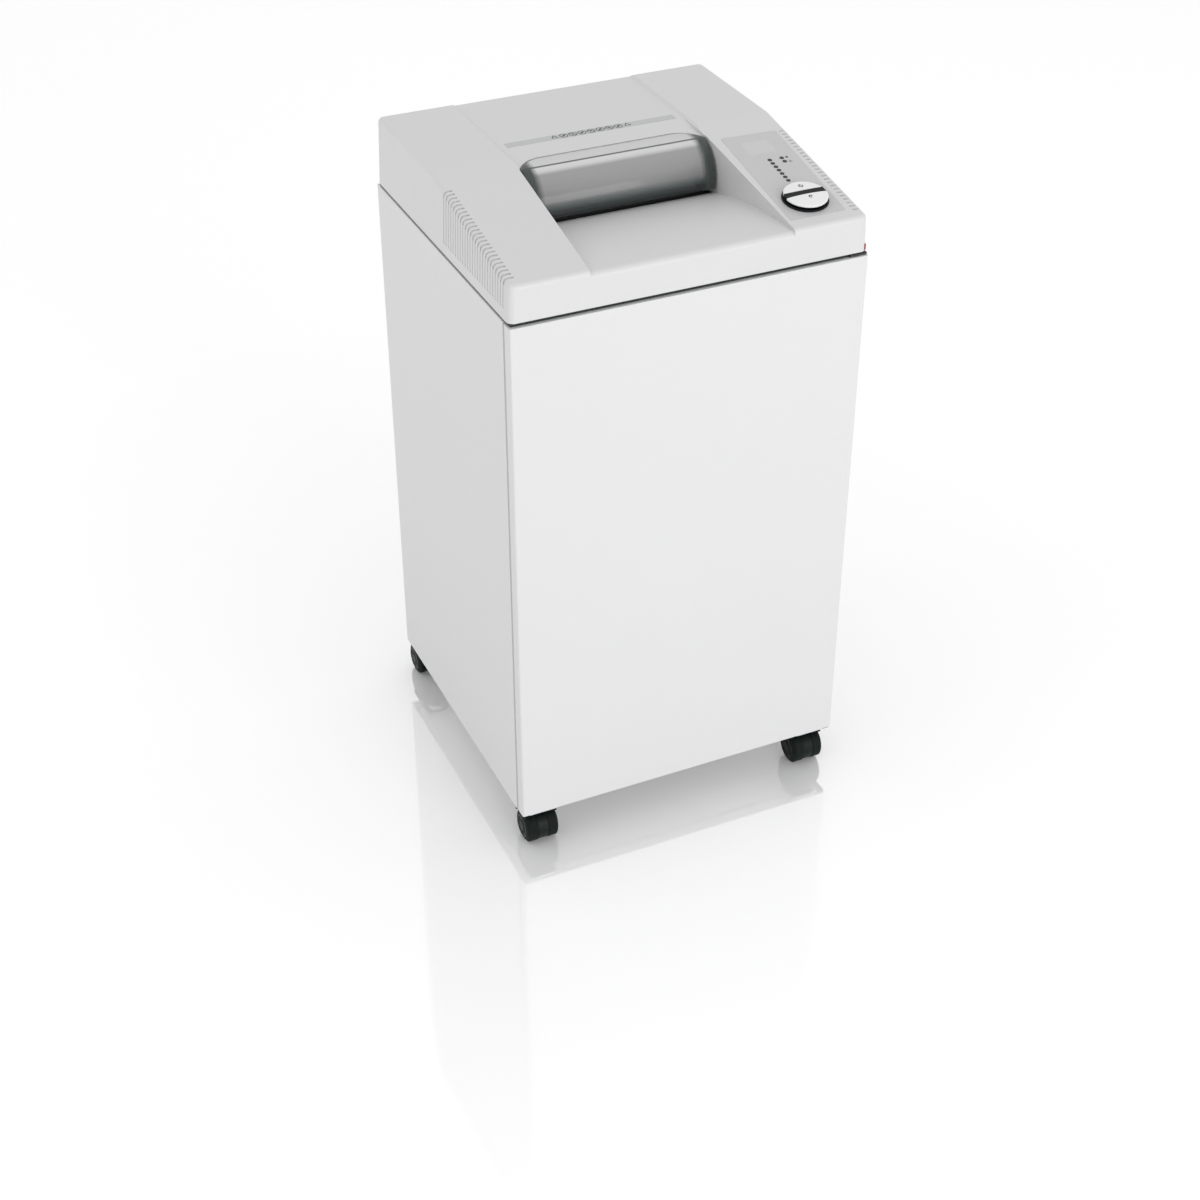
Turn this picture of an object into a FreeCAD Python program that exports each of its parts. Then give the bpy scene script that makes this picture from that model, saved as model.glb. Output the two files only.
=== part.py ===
import FreeCAD, Part
import math
import os
import re

import Sketcher

# A deskside paper shredder on castors. Millimetres, +Z up, the door faces -Y.
# The origin is on the floor under the middle of the whole machine.
SIZES = {
    # cabinet: particle board carcass with an overlaid door
    "cab_half": 247.5,
    "cab_front": -246,
    "cab_back": 224,
    "cab_base": 63,
    "cab_top": 830,
    "board": 18,
    "back_board": 16,
    "door_board": 19,
    "door_gap": 3,
    "door_clear": 1,
    "door_edge": 2.5,
    "drop_left": -190,
    "drop_right": 176,
    "drop_front": -90,
    "drop_back": 64,
    # door pivots and catch
    "pivot_x": 240,
    "pivot_radius": 3,
    "pivot_length": 11.5,
    "bush_radius": 5,
    "running_gap": 0.05,
    "hinge_plate": 2.5,
    # castors
    "castor_x": 215,
    "castor_front": -198,
    "castor_back": 199,
    "wheel_radius": 25,
    "wheel_width": 16,
    "wheel_inner": 8,
    "axle_offset": 21.9,
    "axle_radius": 3,
    "fork_half": 7.5,
    "fork_top": 55.5,
    "stem_radius": 5,
    "castor_plate": 3,
    "plate_half": 21,
    "socket_radius": 12,
    "screw_radius": 2,
    "screw_head": 3.8,
    # shred bin
    "bin_half": 200,
    "bin_front": -205,
    "bin_back": 185,
    "bin_top": 700,
    "bin_wall": 2.5,
    # head cover
    "head_half": 247,
    "draft": 0.0437,
    "head_front": -243,
    "head_back": 223,
    "head_bottom": 834,
    "head_top": 926,
    "lip_top": 883,
    "slope": 0.1609,
    "bend_radius": 100,
    "corner_radius": 9,
    "edge_radius": 6,
    "wall": 3.5,
    "step_half": 131.5,
    "step_depth": 3,
    "step_front": 54,
    "fall_run": 35,
    "ceiling_front": -15,
    "valley_front": 140,
    "valley_back": 133.2,
    "valley_start": -250,
    "corner_x": 91.5,
    "corner_y": -25,
    "flap_back": 19.8,
    "table_apex_y": -235,
    "table_apex_z": 880,
    "lip_round": 7,
    "table_radius": 728,
    "table_end": -37,
    "louvre_pitch": 8.2,
    "louvre_width": 3.8,
    "louvre_depth": 1.8,
    "louvre_shallow": 0.6,
    "louvre_edge": 8,
    "louvre_first": -224.7,
    "louvre_base": 848.5,
    "louvre_reach": 231.5,
    "boss_radius": 5,
    "boss_x": 222,
    "boss_front": -180,
    "boss_back": 195,
    # base tray
    "tray_half": 238,
    "tray_front": -222,
    "tray_back": 216,
    "tray_plate": 3,
    "tray_rim": 14,
    "tray_skin": 2.5,
    "tray_inset": 2,
    # safety flap
    "flap_half": 130.5,
    "flap_skin": 3,
    "flap_rounding": 2.9,
    "flap_axis_y": 14.5,
    "flap_axis_z": 917,
    "flap_knuckle": 3.5,
    "flap_pin": 1.5,
    "flap_radius": 50,
    "flap_face": -44.5,
    "flap_turn_z": 872,
    "flap_foot": 861,
    "flap_rib": 9,
    "flap_rib_width": 3.5,
    # operating panel
    "panel_skin": 0.4,
    "panel_back": -25.2,
    "panel_front": -223,
    "button_x": 185,
    "button_y": -185.2,
    "socket_flange": 30.7,
    "socket_barrel": 25.5,
    "socket_bore": 24,
    "cap_radius": 28.9,
    "cap_dome": 300,
    "bar_half": 5,
    "bar_y": 2.5,
    "lamp_x": 185.7,
    "lamp_y": -88.7,
    "lamp_pitch": 8.45,
    "lamp_radius": 3,
    "lamp_side_x": 203.2,
    # mains switch and inlet
    "switch_x": 238.3,
    "switch_y": -229.2,
    "switch_low": 833.2,
    "switch_high": 843.6,
    "switch_half": 12.1,
    "inlet_x": 135,
    "inlet_z": 857,
    # cutting unit
    "cutter_z": 806,
    "cutter_front": -49,
    "cutter_back": -3,
    "disc_radius": 26,
    "disc_width": 3.6,
    "disc_pitch": 8,
    "disc_start": -132,
    "core_radius": 11,
    "shaft_radius": 9,
    "plate_inner": 140,
    "plate_skin": 6,
    "bearing_radius": 13,
    # drive
    "timing_module": 2,
    "timing_teeth": 23,
    "main_teeth": 59,
    "idler_small": 15,
    "fast_module": 1,
    "idler_large": 75,
    "pinion_teeth": 15,
    "idler_z": 876,
    "motor_z": 873,
    "motor_radius": 38,
    "stator_bore": 26,
    "rotor_radius": 25,
    "rotor_shaft": 6,
    "backlash": 0.14,
}

CARCASS_FRONT = "(cab_front + door_board + door_gap)"
DOOR_MIDDLE = "(cab_front + door_board / 2)"
SLANT = "sqrt(1 + slope^2)"
IDLER_Y = "(cutter_back + sqrt(((main_teeth + idler_small) * timing_module / 2)^2 - (idler_z - cutter_z)^2))"
FAST_DISTANCE = "((idler_large + pinion_teeth) * fast_module / 2)"
MOTOR_Y = f"({IDLER_Y} + sqrt({FAST_DISTANCE}^2 - (idler_z - motor_z)^2))"
DISCS = 33
LOUVRES = 25
LAMPS = 7
MAINS_TILT = 7
CAP_FOOT = 6.2
TOOTH_STEPS = 4
DRAFTED = 0.06
PRESSURE_ANGLE = math.radians(20)
Z_TO_X = FreeCAD.Rotation(FreeCAD.Vector(0, 1, 0), 90)
Z_TO_Y = FreeCAD.Rotation(FreeCAD.Vector(1, 0, 0), -90)
HALF_TURN = FreeCAD.Rotation(FreeCAD.Vector(0, 0, 1), 180)

doc = FreeCAD.newDocument("paper_shredder")
sheet = doc.addObject("Spreadsheet::Sheet", "sizes")
nodes = []


def fill_sheet():
    for row, (alias, number) in enumerate(SIZES.items(), start=1):
        sheet.set(f"A{row}", alias)
        sheet.set(f"B{row}", str(number))
        sheet.setAlias(f"B{row}", alias)
    doc.recompute()


def bound(text):
    """The expression with every alias read from the sheet."""
    return re.sub(r"[a-z][a-z_]+", lambda w: f"sizes.{w[0]}" if w[0] in SIZES else w[0], str(text))


def value(text):
    """What an expression comes to, for code that needs the number."""
    return float(sheet.evalExpression(str(text)))


def slope_z(y, drop="0"):
    """Height of the sloping front at y, less a distance measured square to it."""
    return f"(lip_top + slope * (({y}) - head_front) - ({drop}) * {SLANT})"


def node(made, label):
    """Names a finished sub-part; its label is its file name."""
    made.Label = label
    nodes.append(made)
    return made


def move(made, x="0", y="0", z="0", turn=None):
    """Binds a placement's position, after setting its rotation."""
    if turn is not None:
        made.Placement = FreeCAD.Placement(FreeCAD.Vector(), turn)
    for axis, text in zip("xyz", (x, y, z)):
        made.setExpression(f"Placement.Base.{axis}", bound(text))
    return made


def new_body(name):
    return doc.addObject("PartDesign::Body", name)


def origin_plane(body, plane):
    return next(f for f in body.Origin.OriginFeatures if f.Role == f"{plane}_Plane")


def add_circle(sketch, across, up, radius):
    centre = FreeCAD.Vector(value(across), value(up), 0)
    index = sketch.addGeometry(Part.Circle(centre, FreeCAD.Vector(0, 0, 1), value(radius)))
    rules = (
        (Sketcher.Constraint("DistanceX", -1, 1, index, 3, centre.x), across),
        (Sketcher.Constraint("DistanceY", -1, 1, index, 3, centre.y), up),
        (Sketcher.Constraint("Radius", index, value(radius)), radius),
    )
    for rule, text in rules:
        sketch.setExpression(f"Constraints[{sketch.addConstraint(rule)}]", bound(text))


def arc_between(start, end, radius):
    """The short arc from start to end; its centre is on the left where radius is positive."""
    side = 1 if radius > 0 else -1
    chord = end - start
    left = FreeCAD.Vector(-chord.y, chord.x, 0).normalize()
    depth = math.sqrt(radius**2 - (chord.Length / 2) ** 2)
    centre = (start + end) / 2 + left * depth * side
    first, last = (start, end) if radius > 0 else (end, start)
    angles = [math.atan2(p.y - centre.y, p.x - centre.x) for p in (first, last)]
    circle = Part.Circle(centre, FreeCAD.Vector(0, 0, 1), abs(radius))
    return Part.ArcOfCircle(circle, angles[0], angles[1])


def add_outline(sketch, outline):
    """A closed outline. Each corner is (across, up); a third value makes the edge that ends there an arc."""
    corners = [FreeCAD.Vector(value(c[0]), value(c[1]), 0) for c in outline]
    ends = []
    for index, corner in enumerate(outline):
        start, end = corners[index - 1], corners[index]
        if len(corner) == 3:
            radius = value(corner[2])
            edge = sketch.addGeometry(arc_between(start, end, radius))
            ends.append((edge, 1, 2) if radius > 0 else (edge, 2, 1))
            rule = sketch.addConstraint(Sketcher.Constraint("Radius", edge, abs(radius)))
            sketch.setExpression(f"Constraints[{rule}]", bound(f"abs({corner[2]})"))
        else:
            ends.append((sketch.addGeometry(Part.LineSegment(start, end)), 1, 2))
    for index, (edge, _, last) in enumerate(ends):
        following, first, _ = ends[(index + 1) % len(ends)]
        sketch.addConstraint(Sketcher.Constraint("Coincident", edge, last, following, first))
        for name, text, number in zip("XY", outline[index], (corners[index].x, corners[index].y)):
            rule = sketch.addConstraint(Sketcher.Constraint(f"Distance{name}", -1, 1, edge, last, number))
            sketch.setExpression(f"Constraints[{rule}]", bound(text))


def new_sketch(body, plane, offset, outlines):
    sketch = body.newObject("Sketcher::SketchObject", "Sketch")
    sketch.AttachmentSupport = (origin_plane(body, plane), [""])
    sketch.MapMode = "FlatFace"
    sketch.setExpression("AttachmentOffset.Base.z", bound(offset))
    for outline in outlines:
        if outline[0] == "circle":
            add_circle(sketch, *outline[1:])
        else:
            add_outline(sketch, outline)
    return sketch


def prism(body, kind, plane, low, high, *outlines):
    """Pads or pockets outlines drawn on an origin plane, from low to high along that plane's normal."""
    starts = {
        ("Pad", "XY"): low,
        ("Pocket", "XY"): high,
        ("Pad", "YZ"): low,
        ("Pocket", "YZ"): high,
        ("Pad", "XZ"): f"-({high})",
        ("Pocket", "XZ"): f"-({low})",
    }
    feature = body.newObject(f"PartDesign::{kind}", kind)
    feature.Profile = new_sketch(body, plane, starts[kind, plane], outlines)
    feature.setExpression("Length", bound(f"({high}) - ({low})"))
    return feature


def turned(body, axis, outline):
    """A solid of revolution about the body's own X or Z axis; an outline corner starts with (along, radius)."""
    flat = outline if axis == "X" else [(radius, along, *arc) for along, radius, *arc in outline]
    sketch = new_sketch(body, "XY" if axis == "X" else "XZ", "0", [flat])
    feature = body.newObject("PartDesign::Revolution", "Revolution")
    feature.Profile = sketch
    feature.ReferenceAxis = (sketch, ["H_Axis" if axis == "X" else "V_Axis"])
    feature.Angle = 360
    return feature


def edges_in(shape, x=None, y=None, z=None, along=None):
    """Names of the edges that lie wholly within the given ranges, and run nearly along one axis if it is given."""
    found = []
    slack = 0.01
    for index, edge in enumerate(shape.Edges, start=1):
        box = edge.BoundBox
        spans = {"x": (box.XMin, box.XMax), "y": (box.YMin, box.YMax), "z": (box.ZMin, box.ZMax)}
        inside = all(
            limits is None or (spans[axis][0] >= limits[0] - slack and spans[axis][1] <= limits[1] + slack)
            for axis, limits in (("x", x), ("y", y), ("z", z))
        )
        lengths = {axis: high - low for axis, (low, high) in spans.items()}
        allowed = slack if along is None else slack + DRAFTED * lengths[along]
        straight = along is None or all((lengths[axis] > allowed) == (axis == along) for axis in spans)
        if inside and straight:
            found.append(f"Edge{index}")
    return found


def rounded(body, radius, **where):
    """Fillets the edges of the body's tip that lie in the given ranges."""
    doc.recompute()
    base = body.Tip
    feature = body.newObject("PartDesign::Fillet", "Fillet")
    feature.Base = (base, edges_in(base.Shape, **where))
    feature.setExpression("Radius", bound(radius))
    doc.recompute()
    return feature


def repeated(body, feature, direction, pitch, count):
    """A row of count copies of one feature along an origin axis."""
    pattern = body.newObject("PartDesign::LinearPattern", "LinearPattern")
    pattern.Originals = [feature]
    axis = next(f for f in body.Origin.OriginFeatures if f.Role == f"{direction}_Axis")
    pattern.Direction = (axis, [""])
    pattern.setExpression("Length", bound(f"({pitch}) * {count - 1}"))
    pattern.Occurrences = count
    body.Tip = pattern
    return pattern


def box(name, x, y, z):
    """A block; each range is (low, high)."""
    made = doc.addObject("Part::Box", name)
    for side, (low, high) in zip(("Length", "Width", "Height"), (x, y, z)):
        made.setExpression(side, bound(f"({high}) - ({low})"))
    return move(made, x[0], y[0], z[0])


def rod(name, start, length, radius, turn=None):
    """A cylinder from its start point along +Z, or along +X or +Y once it is turned."""
    made = doc.addObject("Part::Cylinder", name)
    made.setExpression("Radius", bound(radius))
    made.setExpression("Height", bound(length))
    return move(made, *start, turn=turn)


def fuse(name, *pieces):
    made = doc.addObject("Part::MultiFuse", name)
    made.Shapes = list(pieces)
    return made


def common(name, *pieces):
    made = doc.addObject("Part::MultiCommon", name)
    made.Shapes = list(pieces)
    return made


def cut(name, base, tool):
    made = doc.addObject("Part::Cut", name)
    made.Base = base
    made.Tool = tool
    return made


def group(name, *pieces):
    """Separate solids that share one node."""
    made = doc.addObject("Part::Compound", name)
    made.Links = list(pieces)
    return made


def rectangle(left, right, low, high):
    return [(left, low), (right, low), (right, high), (left, high)]


# ---------------------------------------------------------------- cabinet


def castor_places():
    """(name, x, y, quarter) of the four castors; the front pair trails forwards."""
    for end, y in (("front", "castor_front"), ("rear", "castor_back")):
        for side, x in (("left", "-castor_x"), ("right", "castor_x")):
            yield f"{end}_{side}", x, y, end == "front"


def castor_screw_places():
    inset = "(plate_half - 5)"
    for _, x, y, _ in castor_places():
        for across in (f"-{inset}", inset):
            for deep in (f"-{inset}", inset):
                yield f"{x} + {across}", f"{y} + {deep}"


def carcass():
    between = ("-(cab_half - board)", "cab_half - board")
    depth = (CARCASS_FRONT, "cab_back - back_board")
    height = ("cab_base", "cab_top")
    holes = fuse("shank_holes", *[
        rod("shank", (x, y, "cab_base - castor_plate"), "castor_plate + 12", "screw_radius")
        for x, y in castor_screw_places()
    ])
    deep = (CARCASS_FRONT, "cab_back")
    boards = {
        "cabinet_left_side": (("-cab_half", "board - cab_half"), deep, height),
        "cabinet_right_side": (("cab_half - board", "cab_half"), deep, height),
        "cabinet_back": (between, ("cab_back - back_board", "cab_back"), height),
        "cabinet_floor": (between, depth, ("cab_base", "cab_base + board")),
    }
    for label, ranges in boards.items():
        node(cut("drilled_board", box("board", *ranges), holes), label)
    top = new_body("top_board")
    prism(top, "Pad", "XY", "cab_top - board", "cab_top", rectangle(*between, *depth))
    opening = rectangle("drop_left", "drop_right", "drop_front", "drop_back")
    prism(top, "Pocket", "XY", "cab_top - board - 1", "cab_top + 1", opening)
    node(top, "cabinet_top_board")


def castor_fixings():
    """Four pressed plates with their stem sockets, and the screws that hold them."""
    plates = []
    screws = []
    low = "cab_base - castor_plate"
    for name, x, y, forward in castor_places():
        reach = f"(({y}) - castor_front + cab_front + 3)" if forward else f"({y} - plate_half)"
        body = new_body("castor_plate")
        flat = rectangle(f"{x} - plate_half", f"{x} + plate_half", reach, f"{y} + plate_half")
        prism(body, "Pad", "XY", low, "cab_base", flat)
        prism(body, "Pad", "XY", "fork_top + 0.5", low, ["circle", x, y, "socket_radius"])
        bore = ["circle", x, y, "stem_radius + running_gap"]
        prism(body, "Pocket", "XY", "fork_top", "cab_base + 1", bore)
        plates.append(body)
    for x, y in castor_screw_places():
        shank = rod("shank", (x, y, low), "castor_plate + 12", "screw_radius")
        head = rod("head", (x, y, f"{low} - 1.8"), 1.8, "screw_head")
        screws.append(fuse("screw", shank, head))
    holes = fuse("plate_holes", *[
        rod("hole", (x, y, f"{low} - 1"), "castor_plate + 2", "screw_radius") for x, y in castor_screw_places()
    ])
    node(cut("plates", group("plate_set", *plates), holes), "castor_plates")
    node(group("screws", *screws), "castor_screws")


def hinge_plate(name, low, pin_low, pin_high, back):
    """A steel strip on the carcass edge with its riveted door pivot."""
    body = new_body(name)
    left = "pivot_x - 3.3" if name == "lower_hinge_plate" else "pivot_x - 18"
    outline = rectangle(left, "cab_half - 0.8", "cab_front + 3", back)
    prism(body, "Pad", "XY", low, f"({low}) + hinge_plate", outline)
    prism(body, "Pad", "XY", pin_low, pin_high, ["circle", "pivot_x", DOOR_MIDDLE, "pivot_radius"])
    node(body, name)


def hinges():
    low = "cab_base - hinge_plate"
    pin = "pivot_length + door_clear"
    hinge_plate("lower_hinge_plate", low, "cab_base", f"cab_base + {pin}", "castor_front + 8")
    hinge_plate("upper_hinge_plate", "cab_top", f"cab_top - ({pin})", "cab_top", "castor_front + 8")


def door():
    low, high = "cab_base + door_clear", "cab_top - door_clear"
    body = new_body("door_panel")
    face = rectangle("-cab_half", "cab_half", "cab_front", "cab_front + door_board")
    prism(body, "Pad", "XY", low, high, face)
    body_edges = (value("-cab_half"), value("cab_half"))
    rounded(body, "door_edge", x=body_edges, along="z")
    hole = ["circle", "pivot_x", DOOR_MIDDLE, "bush_radius"]
    prism(body, "Pocket", "XY", f"{high} - 12", f"{high} + 1", hole)
    prism(body, "Pocket", "XY", f"{low} - 1", f"{low} + 12", hole)
    node(body, "door")
    bushes = []
    for start in (f"{high} - 12", low):
        bush = new_body("bush")
        prism(bush, "Pad", "XY", start, f"{start} + 12", hole)
        bore = ["circle", "pivot_x", DOOR_MIDDLE, "pivot_radius + running_gap"]
        prism(bush, "Pocket", "XY", f"{start} - 1", f"{start} + 13", bore)
        bushes.append(bush)
    node(group("bushes", *bushes), "door_bushes")
    inner = "cab_front + door_board"
    node(box("strike", (-205, -105), (inner, f"{inner} + 1.5"), (792, 808)), "door_strike")


def door_catch():
    front = f"{CARCASS_FRONT} - 1.1"
    height = ("cab_top - board - 22", "cab_top - board")
    node(box("catch", (-200, -150), (front, f"{CARCASS_FRONT} + 22"), height), "door_catch")
    node(box("sensor", (-140, -112), (front, f"{CARCASS_FRONT} + 18"), height), "door_sensor")


def shred_bin():
    body = new_body("bin")
    low = "cab_base + board"
    rim = "bin_half + 6"
    prism(body, "Pad", "XY", low, "bin_top", rectangle("-bin_half", "bin_half", "bin_front", "bin_back"))
    collar = rectangle(f"-({rim})", rim, "bin_front - 6", "bin_back + 6")
    prism(body, "Pad", "XY", "bin_top - bin_wall", "bin_top", collar)
    inside = rectangle("bin_wall - bin_half", "bin_half - bin_wall", "bin_front + bin_wall", "bin_back - bin_wall")
    prism(body, "Pocket", "XY", f"{low} + bin_wall", "bin_top + 1", inside)
    node(body, "shred_bin")


def castors():
    for name, x, y, forward in castor_places():
        turn = HALF_TURN if forward else None
        node(move(castor_fork(), x, y, turn=turn), f"{name}_castor_fork")
        reach = f"({y} - axle_offset)" if forward else f"({y} + axle_offset)"
        for side, sign in (("outer", 1), ("inner", -1)):
            across = sign * (-1 if name.endswith("left") else 1)
            wheel = castor_wheel()
            move(wheel, f"{x} + {across} * wheel_inner", reach, "wheel_radius", HALF_TURN if across < 0 else None)
            node(wheel, f"{name}_{side}_wheel")


def castor_fork():
    """Centre body, hood, swivel stem and axle of a twin-wheel castor; the stem is on the local Z axis."""
    body = new_body("fork")
    half = ("-fork_half", "fork_half")
    disc = ["circle", "axle_offset", "wheel_radius", "wheel_radius - 0.7"]
    prism(body, "Pad", "YZ", *half, disc)
    prism(body, "Pad", "YZ", *half, rectangle(-11, "axle_offset", "wheel_radius + 5", "fork_top"))
    middle = "axle_offset", "wheel_radius"
    inner, outer = "(wheel_radius + 1)", "(wheel_radius + 3.3)"
    tall = "sqrt(3) / 2"
    hood = [
        (f"{middle[0]} + {inner} / 2", f"{middle[1]} + {inner} * {tall}"),
        (f"{middle[0]} - {inner} * {tall}", f"{middle[1]} + {inner} / 2", inner),
        (f"{middle[0]} - {outer} * {tall}", f"{middle[1]} + {outer} / 2"),
        (f"{middle[0]} + {outer} / 2", f"{middle[1]} + {outer} * {tall}", f"-{outer}"),
    ]
    width = "(wheel_inner + wheel_width)"
    prism(body, "Pad", "YZ", f"-{width}", width, hood)
    under = rectangle("-wheel_radius", "axle_offset + 2 * wheel_radius", -5, 9)
    prism(body, "Pocket", "YZ", "-fork_half - 1", "fork_half + 1", under)
    prism(body, "Pad", "XY", "fork_top", "cab_base - 0.6", ["circle", 0, 0, "stem_radius"])
    axle = ["circle", "axle_offset", "wheel_radius", "axle_radius"]
    prism(body, "Pad", "YZ", f"2 - {width}", f"{width} - 2", axle)
    return body


def castor_wheel():
    body = new_body("wheel")
    bore = "axle_radius + running_gap"
    outline = [
        (0, bore),
        ("wheel_width", bore),
        ("wheel_width", "wheel_radius * 0.72"),
        ("wheel_width - 3.5", "wheel_radius", "wheel_radius * 0.5"),
        (0, "wheel_radius"),
    ]
    turned(body, "X", outline)
    return body


# ---------------------------------------------------------------- head cover


def cover_block(name, inset, bottom):
    """The outside of the head, or the same form set in by a distance; its side walls lean inwards."""
    body = new_body(name)
    front, back, top = f"head_front + {inset}", f"head_back - {inset}", f"head_top - {inset}"
    foot = f"(head_half - {inset} - draft * ({bottom} - head_bottom))"
    shoulder = f"(head_half - {inset} - draft * ({top} - head_bottom))"
    section = [(f"-{foot}", bottom), (foot, bottom), (shoulder, top), (f"-{shoulder}", top)]
    prism(body, "Pad", "XZ", front, back, section)
    bend = f"head_front + (head_top - lip_top + {inset} * ({SLANT} - 1)) / slope"
    before = f"{front} - 10"
    above = [
        (before, slope_z(before, inset)),
        (bend, top),
        (bend, f"{top} + 10"),
        (before, f"{top} + 10"),
    ]
    prism(body, "Pocket", "YZ", "-head_half - 10", "head_half + 10", above)
    bend_y = value(bend)
    rounded(body, f"bend_radius - {inset}", y=(bend_y, bend_y), along="x")
    rounded(body, f"corner_radius - {inset}", along="z")
    rim = value(slope_z(front, inset)) - 1
    rounded(body, f"edge_radius - {inset}", z=(rim, value("head_top") + 1))
    return body


def valley_plan(name, grow):
    """Plan of the feed valley, widening to the front, with rounded rear corners."""
    body = new_body(name)
    side = f"(valley_back + {grow})"
    back = f"(flap_back + {grow})"
    radius = f"(flap_back - corner_y + {grow})"
    turn = f"corner_y + sqrt({radius}^2 - ({side} - corner_x)^2)"
    outline = [
        (f"-(valley_front + {grow})", "valley_start"),
        (f"-{side}", turn),
        ("-corner_x", back, f"-{radius}"),
        ("corner_x", back),
        (side, turn, f"-{radius}"),
        (f"valley_front + {grow}", "valley_start"),
    ]
    prism(body, "Pad", "XY", 800, 960, outline)
    return body


def valley_profile(name, outline):
    body = new_body(name)
    prism(body, "Pad", "YZ", -200, 200, outline)
    return body


def table_z(drop="0"):
    """Height of the domed feed table at its inner end."""
    return f"table_apex_z - table_radius + sqrt((table_radius - ({drop}))^2 - (table_end - table_apex_y)^2)"


def valley_hollow():
    """Everything above the feed table, and the opening for the throat behind it."""
    outline = [
        ("valley_start - 10", "table_apex_z - lip_round"),
        ("head_front", "table_apex_z - lip_round"),
        ("head_front + lip_round", "table_apex_z", "-lip_round"),
        ("table_apex_y", "table_apex_z"),
        ("table_end", table_z(), "-table_radius"),
        ("table_end", 800),
        ("flap_back + 20", 800),
        ("flap_back + 20", 960),
        ("valley_start - 10", 960),
    ]
    return common("valley_hollow", valley_plan("valley_plan", 0), valley_profile("valley_side", outline))


def valley_walls():
    """Skin of the table and of the valley's sides, still solid."""
    apex = "table_apex_z - wall"
    back = "flap_back + wall"
    outline = [
        ("head_front + 3", f"{apex} - 3.5"),
        ("table_apex_y", apex),
        ("table_end", table_z("wall"), "wall - table_radius"),
        ("table_end", 845),
        (back, 845),
        (back, slope_z("flap_back - 15", 1.5)),
        ("flap_back - 15", slope_z("flap_back - 15", 1.5)),
        ("head_front + 3", slope_z("head_front + 3", 1.5)),
    ]
    return common("valley_walls", valley_plan("valley_skin", "wall"), valley_profile("wall_side", outline))


def centre_ceiling():
    """Thicker roof under the lowered centre section and round the flap's rear corners."""
    body = new_body("ceiling")
    low = "head_top - step_depth - wall"
    outline = [
        ("ceiling_front", f"{low} - (step_front - ceiling_front) * step_depth / fall_run"),
        ("step_front", low),
        ("head_back - 2", low),
        ("head_back - 2", "head_top - 2"),
        ("flap_back + 5", "head_top - 2"),
        ("ceiling_front", slope_z("ceiling_front", 2)),
    ]
    prism(body, "Pad", "YZ", "-(step_half + 8)", "step_half + 8", outline)
    return body


def centre_step():
    """What is taken off the top between the cheeks: a bevelled step, then a gentle fall to the flap."""
    step = new_body("step")
    low = "head_top - step_depth"
    bevel = "7 * 3.5 / 3"
    outline = [
        ("-step_half", low),
        ("step_half", low),
        (f"step_half + {bevel}", f"{low} + 7"),
        (f"-(step_half + {bevel})", f"{low} + 7"),
    ]
    prism(step, "Pad", "XZ", -70, "head_back + 20", outline)
    fall = new_body("fall")
    outline = [
        ("step_front", low),
        ("step_front", f"{low} + 9"),
        (-30, f"{low} + 9"),
        (-30, f"{low} - (step_front + 30) * step_depth / fall_run"),
    ]
    prism(fall, "Pad", "YZ", "-step_half", "step_half", outline)
    return [step, fall]


def louvres():
    """Upright grooves, shallow on each side wall and deeper over its rounded edge."""
    body = new_body("louvre_slots")
    half = "louvre_width / 2"
    inner, outer = "(louvre_reach + louvre_width / 2)", "(head_half + 6)"
    slots = []
    for sign in ("", "-"):
        low, high = f"louvre_first - {half}", f"louvre_first + {half}"
        turn = half if sign else f"-{half}"
        start = high if sign else low
        end = low if sign else high
        slots.append([
            (f"{sign}{outer}", start),
            (f"{sign}{inner}", start),
            (f"{sign}{inner}", end, f"{turn} * 1.001"),
            (f"{sign}{outer}", end),
        ])
    first = prism(body, "Pad", "XY", "louvre_base", 940, slots[0])
    repeated(body, first, "Y", "louvre_pitch", LOUVRES)
    other = doc.addObject("Part::Mirroring", "louvre_mirror")
    other.Source = body
    other.Normal = FreeCAD.Vector(1, 0, 0)
    core = cover_block("louvre_core", "louvre_depth", "head_bottom - 20")
    below = new_body("louvre_wall_height")
    bend = "head_front + (head_top - lip_top) / slope"
    outline = [
        ("head_front", 800),
        ("head_back", 800),
        ("head_back", "head_top - louvre_edge"),
        (bend, "head_top - louvre_edge"),
        ("head_front", "lip_top - louvre_edge"),
    ]
    prism(below, "Pad", "YZ", "-head_half - 10", "head_half + 10", outline)
    walls = common("louvre_walls", cover_block("louvre_wall_core", "louvre_shallow", "head_bottom - 20"), below)
    return cut("louvre_grooves", fuse("louvre_both", body, other), fuse("louvre_floor", core, walls))


def head_cover():
    outside = cover_block("cover_block", "0", "head_bottom")
    inside = cover_block("cover_hollow", "wall", "head_bottom - 20")
    shell = cut("cover_shell", outside, inside)
    bosses = []
    for across in ("-boss_x", "boss_x"):
        for deep, top in (("boss_front", slope_z("boss_front", 1.5)), ("boss_back", "head_top - 2")):
            start = (across, deep, "cab_top + tray_plate")
            bosses.append(rod("boss", start, f"({top}) - (cab_top + tray_plate)", "boss_radius"))
    filled = fuse("cover_filled", shell, valley_walls(), centre_ceiling(), *bosses)
    button_hole = on_slope(rod("button_hole", ("0", "0", "0"), 60, "socket_barrel + 0.5"), "button_x", "button_y", -30)
    switch_depth = ("switch_y - switch_half", "switch_y + switch_half")
    switch_notch = box("switch_notch", (225, 260), switch_depth, (820, "switch_high"))
    inlet_hole = box(
        "inlet_hole",
        ("inlet_x - 14", "inlet_x + 14"),
        ("head_back - 8", "head_back + 8"),
        ("inlet_z - 10", "inlet_z + 10"),
    )
    removed = fuse("cover_removed", valley_hollow(), *centre_step(), louvres(), button_hole, switch_notch, inlet_hole)
    pins = fuse("pin_holes", *flap_pin_rods())
    node(cut("cover", cut("cover_open", filled, removed), pins), "head_cover")


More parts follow.
